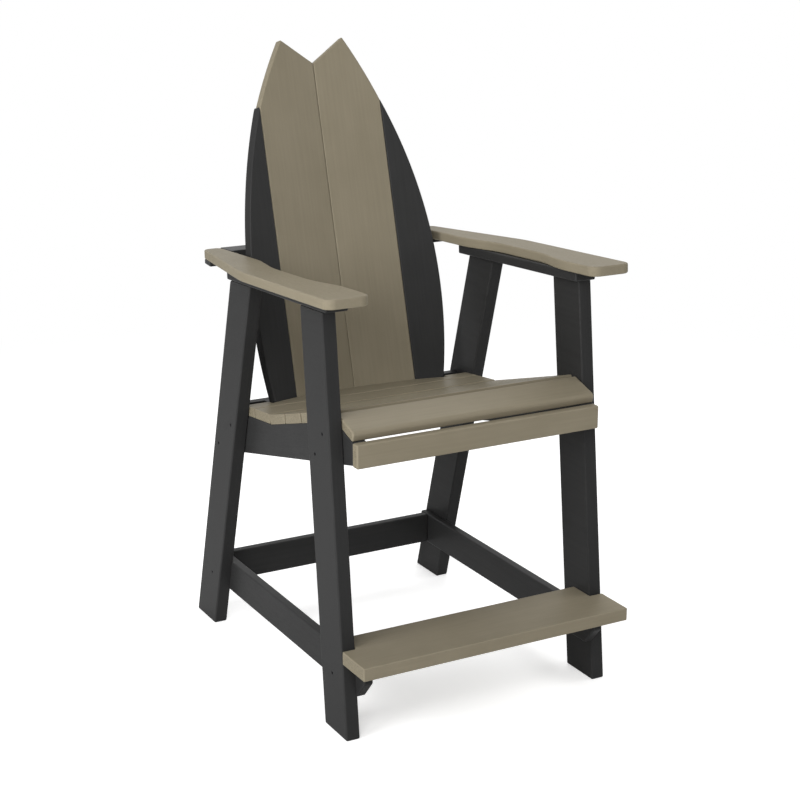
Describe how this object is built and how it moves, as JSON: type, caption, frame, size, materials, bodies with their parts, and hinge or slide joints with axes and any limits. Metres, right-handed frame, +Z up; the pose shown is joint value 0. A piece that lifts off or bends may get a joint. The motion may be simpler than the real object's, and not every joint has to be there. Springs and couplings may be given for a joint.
{
  "type": "balcony chair",
  "caption": "Tall balcony armchair with a notched fan back, contoured slatted seat, broad tapered arms and a footrest, built of two-tone recycled plastic lumber boards.",
  "frame": {"origin": "on the floor, under the middle of the chair's bounding box", "axes": "+Z up; the sitter faces -Y; +X is the right side of the chair seen from the front"},
  "size_m": [0.637, 0.7858, 1.2088],
  "materials": {
    "khaki_poly": "khaki HDPE lumber with a faint drawn grain and eased edges",
    "black_poly": "charcoal black HDPE lumber with a faint drawn grain and eased edges",
    "screw_steel": "black-coated stainless steel"
  },
  "bodies": {
    "root": {"front_leg_left": "black_poly", "front_leg_right": "black_poly", "rear_leg_left": "black_poly", "rear_leg_right": "black_poly", "side_stretcher_left": "black_poly", "side_stretcher_right": "black_poly", "rear_stretcher": "black_poly", "footrest": "khaki_poly", "seat_rail_left": "black_poly", "seat_rail_right": "black_poly", "front_rail": "khaki_poly", "front_slat": "khaki_poly", "seat_slat_1": "khaki_poly", "seat_slat_2": "khaki_poly", "seat_slat_3": "khaki_poly", "seat_slat_4": "khaki_poly", "seat_slat_5": "khaki_poly", "seat_slat_6": "khaki_poly", "lower_back_rail": "black_poly", "upper_back_rail": "black_poly", "back_center_left": "khaki_poly", "back_center_right": "khaki_poly", "back_outer_left": "black_poly", "back_outer_right": "black_poly", "arm_cleat_left": "black_poly", "arm_cleat_right": "black_poly", "arm_left": "khaki_poly", "arm_right": "khaki_poly", "leg_screws": "screw_steel", "arm_screws": "screw_steel", "cleat_screws": "screw_steel", "back_screws": "screw_steel"}
  },
  "joints": []
}
